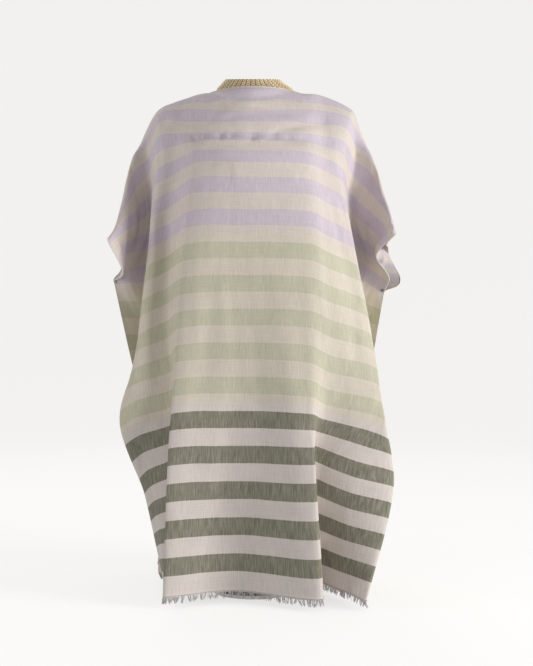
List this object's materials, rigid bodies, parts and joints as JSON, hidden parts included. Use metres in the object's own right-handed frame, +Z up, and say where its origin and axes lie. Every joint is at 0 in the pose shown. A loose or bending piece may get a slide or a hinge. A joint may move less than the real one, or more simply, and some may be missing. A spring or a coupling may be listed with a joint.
{
  "type": "beach poncho on dress form",
  "caption": "Loose beach poncho with open armholes, a slit neck and a fringed hem, hanging in soft folds on a limbless dress form with a pole and round base.",
  "frame": {"origin": "centre of the underside of the stand's base, on the floor", "axes": "+Z up along the pole, the garment's front faces -Y, +X is on the right of somebody who looks at its front"},
  "size_m": [0.5926, 0.4444, 1.0584],
  "materials": {
    "striped_cloth": "matte woven cotton with even cross stripes in lavender, sage and dark olive on cream",
    "hem_cloth": "matte cream cotton, turned and stitched",
    "fringe_yarn": "loose off-white cotton yarn",
    "straw_cover": "matte twisted straw cord in upright ribs",
    "pole_metal": "satin",
    "base_metal": "satin grey paint"
  },
  "bodies": {
    "root": {"front_panel": "striped_cloth", "back_panel": "striped_cloth", "neck_hem_front": "hem_cloth", "neck_hem_back": "hem_cloth", "front_fringe": "fringe_yarn", "back_fringe": "fringe_yarn", "form_torso": "straw_cover", "form_pole": "pole_metal", "form_base": "base_metal"}
  },
  "joints": []
}
